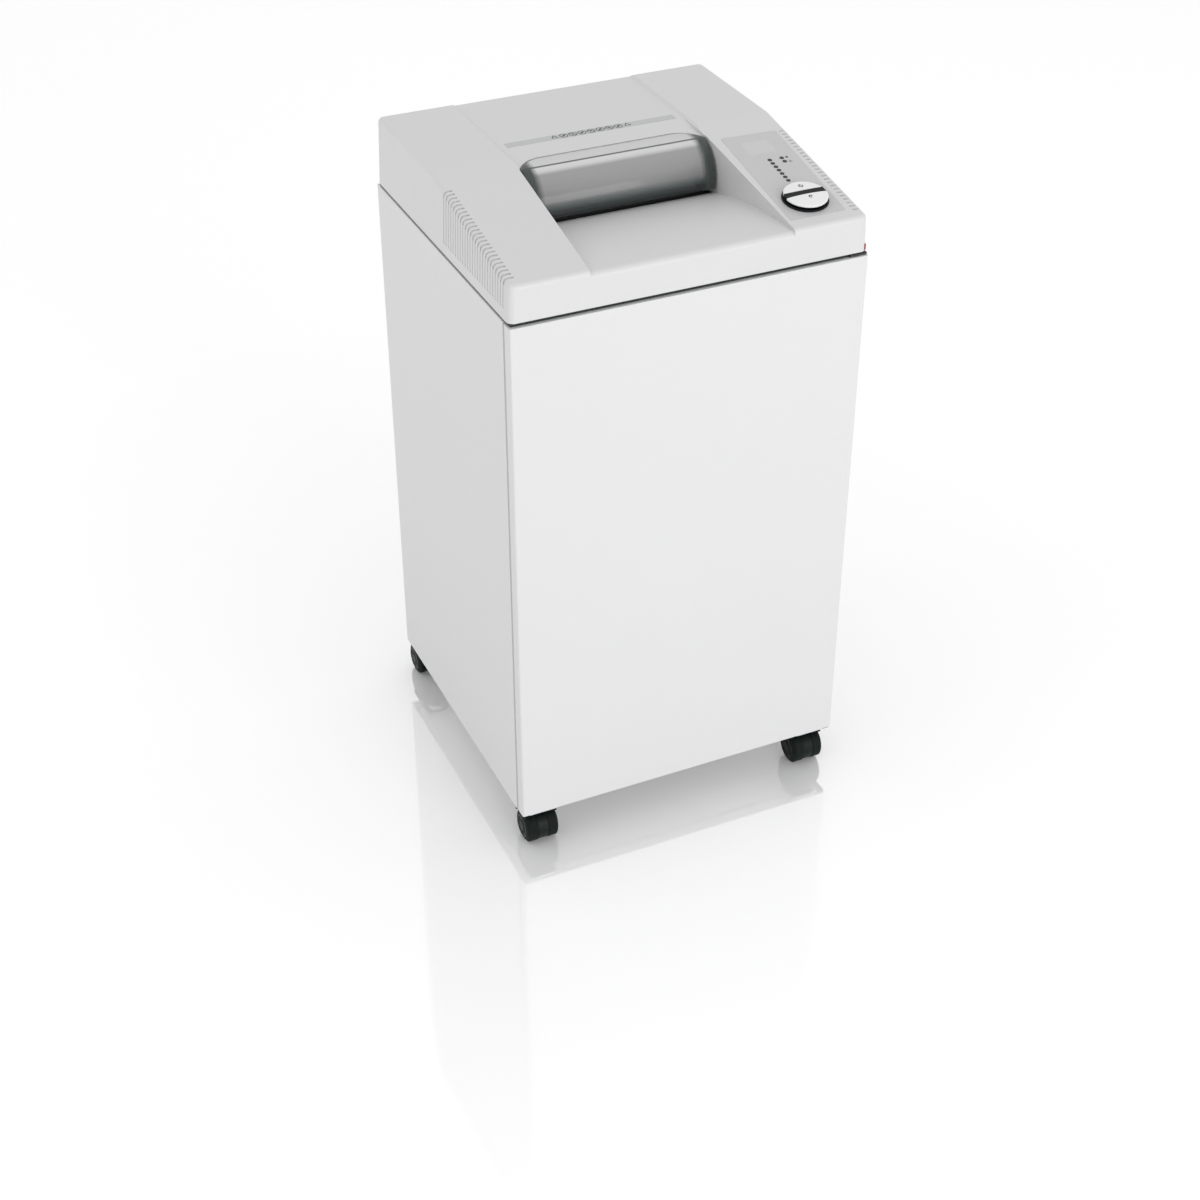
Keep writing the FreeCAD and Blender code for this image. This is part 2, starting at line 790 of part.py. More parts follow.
# ---------------------------------------------------------------- head fittings


def base_tray():
    """Folded steel tray that carries the cutting unit; its flange is the dark seam under the cover."""
    body = new_body("tray")
    high = "cab_top + tray_plate"
    outline = rectangle("-tray_half", "tray_half", "tray_front", "tray_back")
    prism(body, "Pad", "XY", "cab_top", f"{high} + tray_rim", outline)
    rounded(body, 5, along="z")
    skin = "tray_skin"
    inside = rectangle(f"{skin} - tray_half", f"tray_half - {skin}", f"tray_front + {skin}", f"tray_back - {skin}")
    prism(body, "Pocket", "XY", high, f"{high} + tray_rim + 1", inside)
    edge = "(head_half - tray_inset)"
    flange = rectangle(f"-{edge}", edge, "head_front + tray_inset", "head_back - tray_inset")
    prism(body, "Pad", "XY", "cab_top", high, flange)
    opening = rectangle("drop_left - 2", "drop_right + 2", "drop_front - 2", "drop_back + 2")
    prism(body, "Pocket", "XY", "cab_top - 1", f"{high} + 1", opening)
    hinge_notch = rectangle("pivot_x - 18.5", 260, -260, "castor_front + 8.5")
    prism(body, "Pocket", "XY", "cab_top - 1", f"{high} + 1", hinge_notch)
    switch_notch = rectangle(215, 260, -260, "switch_y + switch_half + 1")
    prism(body, "Pocket", "XY", high, f"{high} + tray_rim + 1", switch_notch)
    node(body, "base_tray")


def flap_pin_rods():
    """Two steel pins in the valley's corner walls."""
    start = ("flap_axis_y", "flap_axis_z")
    return [rod("flap_pin", (x, *start), 31, "flap_pin", Z_TO_X) for x in ("-119", "88")]


def flap_curve(depth):
    """Outline of the flap seen from its end: flat top, crease, curved front, straight foot."""
    top = "flap_axis_z + flap_knuckle"
    centre_y, centre_z = "(flap_face + flap_radius)", "flap_turn_z"
    inner = f"(flap_radius - {depth})"
    meet = f"{centre_y} - sqrt({inner}^2 - ({top} - {depth} - {centre_z})^2)"
    start = f"{centre_y} - sqrt(flap_radius^2 - ({top} - {centre_z})^2)"
    return [
        ("flap_axis_y", top),
        (start, top),
        ("flap_face", centre_z, "flap_radius"),
        ("flap_face", "flap_foot"),
        (f"flap_face + {depth}", "flap_foot"),
        (f"flap_face + {depth}", centre_z),
        (meet, f"{top} - {depth}", f"-{inner}"),
        ("flap_axis_y", f"{top} - {depth}"),
    ]


def flap():
    body = new_body("flap_shell")
    prism(body, "Pad", "YZ", "-flap_half", "flap_half", flap_curve("flap_skin"))
    knuckle = ["circle", "flap_axis_y", "flap_axis_z", "flap_knuckle"]
    prism(body, "Pad", "YZ", "-flap_half", "flap_half", knuckle)
    rib = "flap_half - flap_rib_width"
    prism(body, "Pad", "YZ", rib, "flap_half", flap_curve("flap_rib"))
    prism(body, "Pad", "YZ", "-flap_half", f"-({rib})", flap_curve("flap_rib"))
    bore = ["circle", "flap_axis_y", "flap_axis_z", "flap_pin + running_gap"]
    prism(body, "Pocket", "YZ", "-flap_half - 1", "flap_half + 1", bore)
    plan = new_body("flap_plan")
    back = "(flap_axis_y + flap_knuckle)"
    radius = f"({back} - corner_y)"
    turn = f"corner_y + sqrt({radius}^2 - (flap_half - corner_x)^2)"
    outline = [
        ("-flap_half", -80),
        ("-flap_half", turn),
        ("-corner_x", back, f"-{radius}"),
        ("corner_x", back),
        ("flap_half", turn, f"-{radius}"),
        ("flap_half", -80),
    ]
    top = "flap_axis_z + flap_knuckle"
    prism(plan, "Pad", "XY", 840, top, outline)
    rounded(plan, "flap_rounding", y=(value(turn), value(back)), z=(value(top), value(top)))
    node(common("flap_trimmed", body, plan), "flap")
    node(group("flap_pin_pair", *flap_pin_rods()), "flap_pins")


def feed_throat():
    """Dark guide under the flap: a front lip, a sloping rear plate and two end plates round the slot."""
    body = new_body("throat")
    low = "cab_top + 4"
    half = "valley_back - 1.7"
    rear = [(-21, low), (-21, 846), (13, 880), (17, 880), (17, 876), (-18, 843), (-18, low)]
    front = [("table_end + 0.4", 851), (-31, 844), (-31, low), (-34, low), (-34, 842), ("table_end + 0.4", 847)]
    end = [("table_end + 0.4", low), (17, low), (17, 880), (13, 880), (-14, 853), ("table_end + 0.4", 851)]
    prism(body, "Pad", "YZ", f"-({half})", f"3.5 - ({half})", end)
    prism(body, "Pad", "YZ", f"{half} - 3.5", half, end)
    for outline in (front, rear):
        prism(body, "Pad", "YZ", f"-({half} - 3)", f"{half} - 3", [(y, z) for y, z in outline])
    node(common("throat_fitted", body, valley_plan("throat_plan", -0.4)), "feed_throat")
    height = (835, 840)
    front_eye = box("eye", (-6, 6), (-42, -34), height)
    rear_eye = box("eye", (-6, 6), (-18, -10), height)
    node(group("eyes", front_eye, rear_eye), "paper_sensors")


def on_slope(made, x, y, height):
    """Sets a local Z axis square to the sloping front, its origin at a height above the surface."""
    turn = FreeCAD.Rotation(FreeCAD.Vector(1, 0, 0), math.degrees(math.atan(value("slope"))))
    return move(made, x, f"({y}) - ({height}) * slope / {SLANT}", f"{slope_z(y)} + ({height}) / {SLANT}", turn)


def operating_panel():
    """Foil on the right cheek, its round lamp windows and the board behind them."""
    slab = new_body("panel_slab")
    near, far = "panel_front", "(panel_back + 5)"
    outline = [
        (near, slope_z(near)),
        (far, slope_z(far)),
        (far, f"{slope_z(far)} + panel_skin"),
        (near, f"{slope_z(near)} + panel_skin"),
    ]
    prism(slab, "Pad", "YZ", 140, 240, outline)
    plan = new_body("panel_plan")
    outline = [(144.1, near), (223.5, near), (228.1, "panel_back"), (147.9, "panel_back + 3.5")]
    prism(plan, "Pad", "XY", 850, 950, outline)
    rounded(plan, 3, along="z")
    hole = on_slope(rod("foil_hole", ("0", "0", "0"), 40, "socket_flange - 2"), "button_x", "button_y", -20)
    node(cut("foil", common("foil_sheet", slab, plan), hole), "control_panel_foil")
    lamps = []
    for x, count in (("lamp_x", LAMPS), ("lamp_side_x", 2)):
        for index in range(count):
            lamp = rod("lamp", ("0", "0", "0"), 0.35, "lamp_radius")
            lamps.append(on_slope(lamp, x, f"lamp_y - {index} * lamp_pitch", "panel_skin"))
    node(group("lamps", *lamps), "lamp_windows")
    board = box("board", ("-38", "38"), ("-80", "60"), ("0", "1.6"))
    board_frame = doc.addObject("Part::Compound", "board_frame")
    board_frame.Links = [board]
    node(on_slope(board_frame, "lamp_x", "lamp_y + 4", "-14"), "control_board")


def rocker_button():
    """Round rocker: a black socket, a black core with its bar, and two white half caps."""
    socket = new_body("socket")
    turned(socket, "Z", [
        (-12, "socket_bore"),
        (-12, "socket_barrel"),
        ("panel_skin", "socket_barrel"),
        ("panel_skin", "socket_flange"),
        (2.2, "socket_flange"),
        (3, "socket_flange - 0.8"),
        (3, "socket_bore"),
    ])
    bore = ["circle", 0, -3, 2.05]
    prism(socket, "Pocket", "YZ", -26, 26, bore)
    node(on_slope(socket, "button_x", "button_y", 0), "button_socket")
    core = new_body("core")
    turned(core, "Z", [
        (-7, 0),
        (-7, "socket_bore - 1.2"),
        (5.2, "socket_bore - 1.2"),
        (5.2, "cap_radius"),
        (CAP_FOOT, "cap_radius"),
        (CAP_FOOT, 0),
    ])
    bar = rectangle("1 - cap_radius", "cap_radius - 1", "bar_y - bar_half", "bar_y + bar_half")
    prism(core, "Pad", "XY", 6, 9.2, bar)
    pivot = ["circle", 0, -3, 2]
    prism(core, "Pad", "YZ", "-(socket_barrel - 0.2)", "socket_barrel - 0.2", pivot)
    node(on_slope(core, "button_x", "button_y", 0), "rocker_core")
    dome = new_body("cap_dome")
    turned(dome, "Z", [
        (CAP_FOOT, 0),
        (CAP_FOOT, "cap_radius"),
        (8.2, "cap_radius"),
        (8.9, "cap_radius - 0.9"),
        (10.2, 0, "cap_dome"),
    ])
    slot = rectangle("-cap_radius - 1", "cap_radius + 1", "bar_y - bar_half", "bar_y + bar_half")
    slit = new_body("cap_slot")
    prism(slit, "Pad", "XY", 5, 12, slot)
    node(on_slope(cut("caps", dome, slit), "button_x", "button_y", 0), "rocker_caps")


def mains_switch():
    """Red rocker on an upright pivot, in a black frame at the foot of the right wall."""
    frame = new_body("switch_frame")
    outer = rectangle(226, 250, "switch_y - switch_half", "switch_y + switch_half")
    prism(frame, "Pad", "XY", "switch_low", "switch_high", outer)
    recess = rectangle("switch_x - 6.8", 252, "switch_y - switch_half + 0.8", "switch_y + switch_half - 0.8")
    prism(frame, "Pocket", "XY", "switch_low - 1", "switch_high - 1.4", recess)
    pin = ["circle", "switch_x", "switch_y", 1.5]
    prism(frame, "Pad", "XY", "switch_low + 0.2", "switch_high - 0.5", pin)
    outline = cover_block("switch_outline", "-0.2", "head_bottom - 20")
    node(common("switch_frame_fitted", frame, outline), "mains_switch_frame")
    rocker = new_body("rocker")
    outline = [(8, -10.2), (6.4, 0), (8, 10.2), (4.5, 10.2), (-4, 5), (-4, -5), (4.5, -10.2)]
    prism(rocker, "Pad", "XY", "switch_low + 0.4", "switch_high - 1.8", outline)
    bore = ["circle", 0, 0, 1.55]
    prism(rocker, "Pocket", "XY", "switch_low", "switch_high", bore)
    tilt = FreeCAD.Rotation(FreeCAD.Vector(0, 0, 1), MAINS_TILT)
    node(move(rocker, "switch_x", "switch_y", turn=tilt), "mains_rocker")


def mains_inlet():
    body = new_body("inlet")
    face = "head_back + 0.9"

    def window(half_width, half_height):
        return rectangle(
            f"inlet_x - {half_width}",
            f"inlet_x + {half_width}",
            f"inlet_z - {half_height}",
            f"inlet_z + {half_height}",
        )

    prism(body, "Pad", "XZ", "head_back - 21", "head_back", window(13.8, 9.8))
    prism(body, "Pad", "XZ", "head_back", face, window(19, 13))
    prism(body, "Pocket", "XZ", "head_back - 17", f"{face} + 1", window(11.5, 7.5))
    for across, up in ((-6, -2.5), (0, 2.5), (6, -2.5)):
        blade = rectangle(
            f"inlet_x + {across - 1}", f"inlet_x + {across + 1}", f"inlet_z + {up - 2}", f"inlet_z + {up + 2}"
        )
        prism(body, "Pad", "XZ", "head_back - 18", "head_back - 7", blade)
    node(body, "mains_inlet")


def hazard_strip():
    high = "head_top - step_depth"
    node(box("strip", (-122, 122), (57, 71), (high, f"{high} + 0.3")), "hazard_strip")


# ---------------------------------------------------------------- cutting unit


def side_plates():
    left = [
        (-88, 766), (62, 766), (62, 833), (112, 833), (112, 908),
        (-8, 908), (-60, 845), (-112, 845), (-112, 833), (-88, 833),
    ]
    right = [
        (-88, 766), (62, 766), (62, 833), (112, 833), (112, 845), (-112, 845), (-112, 833), (-88, 833),
    ]
    outer = "(plate_inner + plate_skin)"
    for name, outline, low, high in (
        ("left_side_plate", left, f"-{outer}", "-plate_inner"),
        ("right_side_plate", right, "plate_inner", outer),
    ):
        body = new_body(name)
        prism(body, "Pad", "YZ", low, high, outline)
        for y in ("cutter_front", "cutter_back"):
            seat = ["circle", y, "cutter_z", "bearing_radius"]
            prism(body, "Pocket", "YZ", f"{low} - 1", f"{high} + 1", seat)
        if name == "left_side_plate":
            for y, z, radius in ((IDLER_Y, "idler_z", "rotor_shaft"), (MOTOR_Y, "motor_z", "rotor_shaft + 3")):
                prism(body, "Pocket", "YZ", f"{low} - 1", f"{high} + 1", ["circle", y, z, radius])
        node(body, name)


def bearings():
    made = []
    for y in ("cutter_front", "cutter_back"):
        for start in ("-(plate_inner + plate_skin + 1)", "plate_inner - 1"):
            bush = new_body("bearing")
            length = "(plate_skin + 2)"
            turned(bush, "X", [
                (0, "shaft_radius + running_gap"),
                (length, "shaft_radius + running_gap"),
                (length, "bearing_radius"),
                (0, "bearing_radius"),
            ])
            made.append(move(bush, start, y, "cutter_z"))
    node(group("bearing_set", *made), "cutter_bearings")
    rods = [
        rod("tie_rod", ("-plate_inner", y, z), "2 * plate_inner", 5, Z_TO_X)
        for y, z in (("-81", "775"), ("54", "775"), ("-92", "839"), ("54", "826"))
    ]
    node(group("tie_rod_set", *rods), "tie_rods")


def cutter_shaft(label, y, disc_start, left_end):
    """A shaft turned from the solid with its row of cutting discs."""
    body = new_body("cutter")
    inner = "(plate_inner - 1.5)"
    turned(body, "X", [
        (left_end, 0),
        (left_end, "shaft_radius"),
        (f"-{inner}", "shaft_radius"),
        (f"-{inner}", "core_radius"),
        (inner, "core_radius"),
        (inner, "shaft_radius"),
        ("plate_inner + plate_skin + 18", "shaft_radius"),
        ("plate_inner + plate_skin + 18", 0),
    ])
    disc = prism(body, "Pad", "YZ", disc_start, f"{disc_start} + disc_width", ["circle", 0, 0, "disc_radius"])
    repeated(body, disc, "X", "disc_pitch", DISCS)
    node(move(body, "0", y, "cutter_z"), label)


def cutters():
    cutter_shaft("front_cutter", "cutter_front", "disc_start", "-(plate_inner + plate_skin + 2)")
    cutter_shaft("rear_cutter", "cutter_back", "disc_start + disc_pitch / 2", "-(plate_inner + plate_skin + 36)")


def combs():
    """Two bars whose fingers reach between the discs and strip the shreds off."""
    made = []
    first = "disc_start + disc_width + 0.4"
    for low, high, tip_low, tip_high, start in (
        (-82, -77, -78, "cutter_front - core_radius - 1", first),
        (26, 31, "cutter_back + core_radius + 1", 27, f"{first} + disc_pitch / 2"),
    ):
        body = new_body("comb")
        bar = ("-(plate_inner - 0.1)", "plate_inner - 0.1")
        prism(body, "Pad", "YZ", *bar, rectangle(low, high, 796, 816))
        finger = prism(body, "Pad", "YZ", start, f"{start} + 3.6", rectangle(tip_low, tip_high, 803, 809))
        repeated(body, finger, "X", "disc_pitch", DISCS - 1)
        made.append(body)
    node(group("comb_pair", *made), "stripper_combs")


def drop_chute():
    """Sheet collar under the top board: open in the middle, closed under the gear cases at each end."""
    body = new_body("chute")
    low, high = "738", "cab_top - board"
    skin = "2"
    left, right, front, back = "drop_left", "drop_right", "drop_front", "drop_back"
    outside = rectangle(f"{left} - {skin}", f"{right} + {skin}", f"{front} - {skin}", f"{back} + {skin}")
    prism(body, "Pad", "XY", low, high, outside)
    inner = "(plate_inner + plate_skin + 1.5)"
    floor = f"{low} + {skin}"
    windows = (
        (left, f"-{inner}", floor),
        (f"{skin} - {inner}", f"{inner} - {skin}", f"{low} - 1"),
        (inner, right, floor),
    )
    for start, end, bottom in windows:
        prism(body, "Pocket", "XY", bottom, f"{high} + 1", rectangle(start, end, front, back))
    above = rectangle(f"{left} + 1", f"{right} - 1", front, back)
    prism(body, "Pocket", "XY", "765", f"{high} + 1", above)
    node(body, "drop_chute")


# ---------------------------------------------------------------- drive


def involute(angle):
    return math.tan(angle) - angle


def gear_face(module, teeth, turn):
    """Flat outline of an involute gear, each flank drawn with a few chords, with one tooth at angle turn."""
    pitch = module * teeth / 2
    base = pitch * math.cos(PRESSURE_ANGLE)
    tip, root = pitch + 0.95 * module, pitch - 1.25 * module
    half = math.pi / (2 * teeth) - value("backlash") / (2 * pitch)
    start = max(base, root)
    flank = [(root, half + involute(PRESSURE_ANGLE))] if root < base else []
    for step in range(TOOTH_STEPS + 1):
        radius = start + (tip - start) * step / TOOTH_STEPS
        spread = half + involute(PRESSURE_ANGLE) - involute(math.acos(min(1, base / radius)))
        flank.append((radius, spread))
    points = []
    for tooth in range(teeth):
        middle = turn + 2 * math.pi * tooth / teeth
        for radius, spread in flank:
            points.append((radius, middle - spread))
        for radius, spread in reversed(flank):
            points.append((radius, middle + spread))
    corners = [FreeCAD.Vector(0, r * math.cos(a), r * math.sin(a)) for r, a in points]
    return Part.Face(Part.makePolygon([*corners, corners[0]]))


def gear_solid(module, teeth, length, bore, turn):
    """A gear along +X from its local origin, with or without a bore."""
    along = FreeCAD.Vector(1, 0, 0)
    solid = gear_face(value(module), int(value(teeth)), turn).extrude(along * length)
    if bore:
        solid = solid.cut(Part.makeCylinder(bore, length + 2, FreeCAD.Vector(-1, 0, 0), along))
    return solid


def solid(name, shape, x, y, z):
    made = doc.addObject("Part::Feature", name)
    made.Shape = shape
    return move(made, x, y, z)


def direction(start, end):
    """Angle in the YZ plane from one shaft to another."""
    return math.atan2(value(end[1]) - value(start[1]), value(end[0]) - value(start[0]))


def gears():
    """Motor pinion to idler, idler to main gear on the rear cutter, and the timing pair at the other end."""
    front, rear = ("cutter_front", "cutter_z"), ("cutter_back", "cutter_z")
    idler, motor = (IDLER_Y, "idler_z"), (MOTOR_Y, "motor_z")
    outer = value("plate_inner + plate_skin")
    shaft, idler_bore = value("shaft_radius"), value("rotor_shaft + running_gap")
    width = 12

    def gap_at(angle, teeth):
        return angle + math.pi / value(teeth)

    timing = "timing_module", "timing_teeth", width, shaft
    tooth = gear_solid(*timing, direction(front, rear))
    node(solid("timing", tooth, str(outer + 4), *front), "front_timing_gear")
    gap = gear_solid(*timing, gap_at(direction(rear, front), "timing_teeth"))
    node(solid("timing", gap, str(outer + 4), *rear), "rear_timing_gear")
    main = gear_solid("timing_module", "main_teeth", width, shaft, gap_at(direction(rear, idler), "main_teeth"))
    node(solid("main", main, str(-outer - 34), *rear), "main_gear")
    small = gear_solid("timing_module", "idler_small", width + 3, idler_bore, direction(idler, rear))
    large_turn = gap_at(direction(idler, motor), "idler_large")
    large = gear_solid("fast_module", "idler_large", width - 2, idler_bore, large_turn)
    large.translate(FreeCAD.Vector(width + 3, 0, 0))
    cluster = small.fuse(large)
    node(solid("idler", cluster, str(-outer - 34), *idler), "idler_gear")
    axle = rod("axle", (str(-outer - 36), *idler), 42, "rotor_shaft", Z_TO_X)
    spacer = rod("axle_collar", (str(-outer - 8.5), *idler), 8.5, "shaft_radius", Z_TO_X)
    node(fuse("axle_with_collar", axle, spacer), "idler_axle")
    pinion = gear_solid("fast_module", "pinion_teeth", width, 0, direction(motor, idler))
    return solid("pinion", pinion, str(-outer - 20), *motor)


def motor(pinion):
    """Induction motor bolted to the left side plate; stator and can are one thick tube."""
    start = "-(plate_inner - 8)"
    end = "20"
    can = new_body("can")
    turned(can, "X", [
        (start, "stator_bore"),
        (end, "stator_bore"),
        (end, "motor_radius"),
        (start, "motor_radius"),
    ])
    node(move(can, "0", MOTOR_Y, "motor_z"), "motor_can")
    bells = []
    for low, high in (("-plate_inner", start), (end, f"{end} + 8")):
        bell = new_body("bell")
        turned(bell, "X", [
            (low, "rotor_shaft + running_gap"),
            (high, "rotor_shaft + running_gap"),
            (high, "motor_radius"),
            (low, "motor_radius"),
        ])
        bells.append(move(bell, "0", MOTOR_Y, "motor_z"))
    node(group("bell_pair", *bells), "motor_end_bells")
    shaft = new_body("rotor")
    turned(shaft, "X", [
        ("-(plate_inner + plate_skin + 9)", 0),
        ("-(plate_inner + plate_skin + 9)", "rotor_shaft"),
        (f"{start} + 20", "rotor_shaft"),
        (f"{start} + 20", "rotor_radius"),
        (f"{end} - 20", "rotor_radius"),
        (f"{end} - 20", "rotor_shaft"),
        (f"{end} + 14", "rotor_shaft"),
        (f"{end} + 14", 0),
    ])
    node(fuse("rotor_with_pinion", move(shaft, "0", MOTOR_Y, "motor_z"), pinion), "motor_rotor")
    capacitor = rod("capacitor", ("200", "60", "cab_top + tray_plate + 18"), 85, 18, Z_TO_Y)
    node(capacitor, "run_capacitor")


# ---------------------------------------------------------------- checks and export


def check_document():
    for made in doc.Objects:
        if "Invalid" in made.State or "Error" in made.State:
            raise RuntimeError(f"{made.Label} ({made.Name}) failed: {made.State}")
        if made.TypeId == "PartDesign::Pocket":
            before = made.BaseFeature.Shape.Volume
            if made.Shape.Volume > before - 1e-3:
                raise RuntimeError(f"{made.Name} of {made.getParentGeoFeatureGroup().Label} cuts nothing")
    labels = [made.Label for made in nodes]
    if len(set(labels)) != len(labels):
        raise RuntimeError("two sub-parts share a name")
    for made in nodes:
        if made.Shape.isNull() or not made.Shape.isValid() or not made.Shape.Solids:
            raise RuntimeError(f"{made.Label} has no valid solid")


def main():
    fill_sheet()
    carcass()
    castor_fixings()
    hinges()
    door()
    door_catch()
    shred_bin()
    castors()
    head_cover()
    base_tray()
    flap()
    feed_throat()
    operating_panel()
    rocker_button()
    mains_switch()
    mains_inlet()
    hazard_strip()
    side_plates()
    bearings()
    cutters()
    combs()
    drop_chute()
    motor(gears())
    doc.recompute()
    check_document()
    os.makedirs("parts", exist_ok=True)
    for made in nodes:
        made.Shape.exportStep(f"parts/{made.Label}.step")
    print(len(nodes), "sub-parts")


main()
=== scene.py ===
import math

import bmesh
import bpy
from mathutils import Matrix, Vector


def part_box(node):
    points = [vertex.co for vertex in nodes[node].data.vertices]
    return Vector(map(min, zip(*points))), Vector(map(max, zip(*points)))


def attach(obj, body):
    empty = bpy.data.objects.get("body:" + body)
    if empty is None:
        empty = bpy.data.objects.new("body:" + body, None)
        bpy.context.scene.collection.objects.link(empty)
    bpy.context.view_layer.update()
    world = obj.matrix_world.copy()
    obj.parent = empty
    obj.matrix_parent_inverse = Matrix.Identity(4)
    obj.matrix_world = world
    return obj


# The camera: its place in metres, its angles in degrees, its lens and sensor in millimetres.
EYE = (-1.05756, -2.2785, 1.96379)
ELEVATION = 34.944
HEADING = 24.56
LENS = 61.44
SENSOR = 36

# The head's sloping front, in metres: where it starts, how steeply it climbs and what lies on it.
HEAD_FRONT = -0.243
LIP_TOP = 0.883
SLOPE = 0.1609
SLANT = math.sqrt(1 + SLOPE**2)
BUTTON = (0.185, -0.1852)
CAP_TOP = 0.0102
CAP_DOME = 0.300
FOIL = 0.0004
PRINT = 0.00004

# The flap's painted light and shade and the guide's painted shade, in metres: half the width of their pale
# middle, and the heights between which the flap's painted light and shade are set.
PALE_HALF = 0.1175
PAINTED_LIGHT_LOW = 0.860
PAINTED_LIGHT_HIGH = 0.922

# A full circle in degrees, and the angle in radians from which an edge counts as hard.
FULL_TURN = 360
SHARP = math.radians(35)

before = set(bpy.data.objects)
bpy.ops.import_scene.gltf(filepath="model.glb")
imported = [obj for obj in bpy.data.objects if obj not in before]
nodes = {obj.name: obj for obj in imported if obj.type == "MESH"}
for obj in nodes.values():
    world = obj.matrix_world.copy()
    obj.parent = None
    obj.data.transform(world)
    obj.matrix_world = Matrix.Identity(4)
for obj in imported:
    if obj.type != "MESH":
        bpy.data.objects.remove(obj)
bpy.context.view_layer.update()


# ---------------------------------------------------------------- camera


def make_camera():
    """The product view: from the left, above and in front."""
    data = bpy.data.cameras.new("camera")
    data.lens = LENS
    data.sensor_width = SENSOR
    camera = bpy.data.objects.new("camera", data)
    camera.location = EYE
    camera.rotation_euler = (math.radians(90 - ELEVATION), 0, math.radians(-HEADING))
    bpy.context.scene.collection.objects.link(camera)
    bpy.context.scene.camera = camera


# ---------------------------------------------------------------- materials


class Shading:
    """One node material: a Principled shader with named helpers for texture nodes."""

    def __init__(self, name, colour, roughness, metallic=0.0):
        self.material = bpy.data.materials.new(name)
        self.material.use_nodes = True
        self.tree = self.material.node_tree
        self.shader = self.tree.nodes["Principled BSDF"]
        self.colour = colour
        self.shader.inputs["Base Color"].default_value = (*colour, 1)
        self.shader.inputs["Roughness"].default_value = roughness
        self.shader.inputs["Metallic"].default_value = metallic
        self.place = self.tree.nodes.new("ShaderNodeTexCoord").outputs["Object"]

    def feed(self, socket, value):
        """Links a texture to an input, or sets the input to a plain value."""
        if isinstance(value, bpy.types.NodeSocket):
            self.tree.links.new(value, socket)
        else:
            socket.default_value = value

    def node(self, kind, **inputs):
        """A new node, its inputs fed by name; an underscore stands for a space."""
        made = self.tree.nodes.new(kind)
        for name, value in inputs.items():
            self.feed(made.inputs[name.replace("_", " ")], value)
        return made

    def maths(self, operation, *values):
        """The result of a maths node."""
        made = self.tree.nodes.new("ShaderNodeMath")
        made.operation = operation
        for socket, value in zip(made.inputs, values):
            self.feed(socket, value)
        return made.outputs[0]

    def spread(self, value, low, high, first=0, last=1):
        """Maps a value from the range low to high onto first to last."""
        return self.node(
            "ShaderNodeMapRange", Value=value, From_Min=low, From_Max=high, To_Min=first, To_Max=last
        ).outputs[0]

    def set(self, **inputs):
        """Sets inputs of the Principled shader itself."""
        for name, value in inputs.items():
            self.shader.inputs[name.replace("_", " ")].default_value = value
        return self

    def noise(self, scale, detail=3, stretch=(1, 1, 1)):
        """Noise over the object's own coordinates."""
        mapped = self.node("ShaderNodeMapping", Vector=self.place, Scale=stretch).outputs[0]
        return self.node("ShaderNodeTexNoise", Vector=mapped, Scale=scale, Detail=detail).outputs[0]

    def blend(self, factor, first, second):
        """Mixes two colours, either of them a texture, into the base colour."""
        mix = self.tree.nodes.new("ShaderNodeMix")
        mix.data_type = "RGBA"
        for name, colour in (("A", first), ("B", second)):
            plain = not isinstance(colour, bpy.types.NodeSocket)
            self.feed(mix.inputs[name], (*colour, 1) if plain else colour)
        self.feed(mix.inputs["Factor"], factor)
        self.feed(self.shader.inputs["Base Color"], mix.outputs["Result"])

    def tone(self, texture, amount):
        """Varies the colour's brightness a little either side of its own."""
        self.blend(texture, [c * (1 - amount) for c in self.colour], [c * (1 + amount) for c in self.colour])

    def polish(self, texture, low, high):
        """Varies the roughness between two values."""
        self.feed(self.shader.inputs["Roughness"], self.spread(texture, 0, 1, low, high))

    def bump(self, texture, depth, strength):
        """Raises the surface by a texture."""
        bump = self.node("ShaderNodeBump", Height=texture, Distance=depth, Strength=strength)
        self.feed(self.shader.inputs["Normal"], bump.outputs["Normal"])

    def height_and_inside(self, near, far):
        """The height of each point, and a mask that is 1 up to near from the middle and 0 past far."""
        parts = self.node("ShaderNodeSeparateXYZ", Vector=self.place)
        across = self.maths("ABSOLUTE", parts.outputs["X"])
        return parts.outputs["Z"], self.spread(across, near, far, 1, 0)

    def bands(self, height, low, high, levels):
        """A colour ramp of greys at heights between low and high, the dark ones slightly green."""
        ramp = self.node("ShaderNodeValToRGB", Fac=self.spread(height, low, high))
        stops = ramp.color_ramp.elements
        while len(stops) < len(levels):
            stops.new(0.5)
        for stop, (place, grey) in zip(stops, levels):
            stop.position = (place - low) / (high - low)
            stop.color = (grey * (0.85 if grey < 0.2 else 1), grey, grey, 1)
        return ramp.outputs["Color"]


def moulded(name, colour, roughness, grain=1800, depth=0.00006):
    """Spark-eroded moulding: a fine even grain and a faint unevenness of tone and gloss."""
    made = Shading(name, colour, roughness)
    made.tone(made.noise(9), 0.012)
    made.polish(made.noise(22), roughness - 0.05, roughness + 0.07)
    made.bump(made.noise(grain, 2), depth, 0.35)
    return made


def metal(name, colour, roughness, stretch=(1, 1, 1)):
    """Ground or plated metal, its scratches drawn out along one axis."""
    made = Shading(name, colour, roughness, 1.0)
    scratches = made.noise(500, 4, stretch)
    made.tone(made.noise(30), 0.05)
    made.polish(scratches, roughness - 0.08, roughness + 0.12)
    made.bump(scratches, 0.00004, 0.25)
    return made


def melamine():
    """Pale melamine board with a fine pearl texture."""
    made = Shading("board_melamine", (0.63, 0.63, 0.635), 0.38)
    made.tone(made.noise(5), 0.008)
    made.polish(made.noise(700, 2), 0.33, 0.46)
    made.bump(made.noise(950, 2), 0.00005, 0.25)
    return made


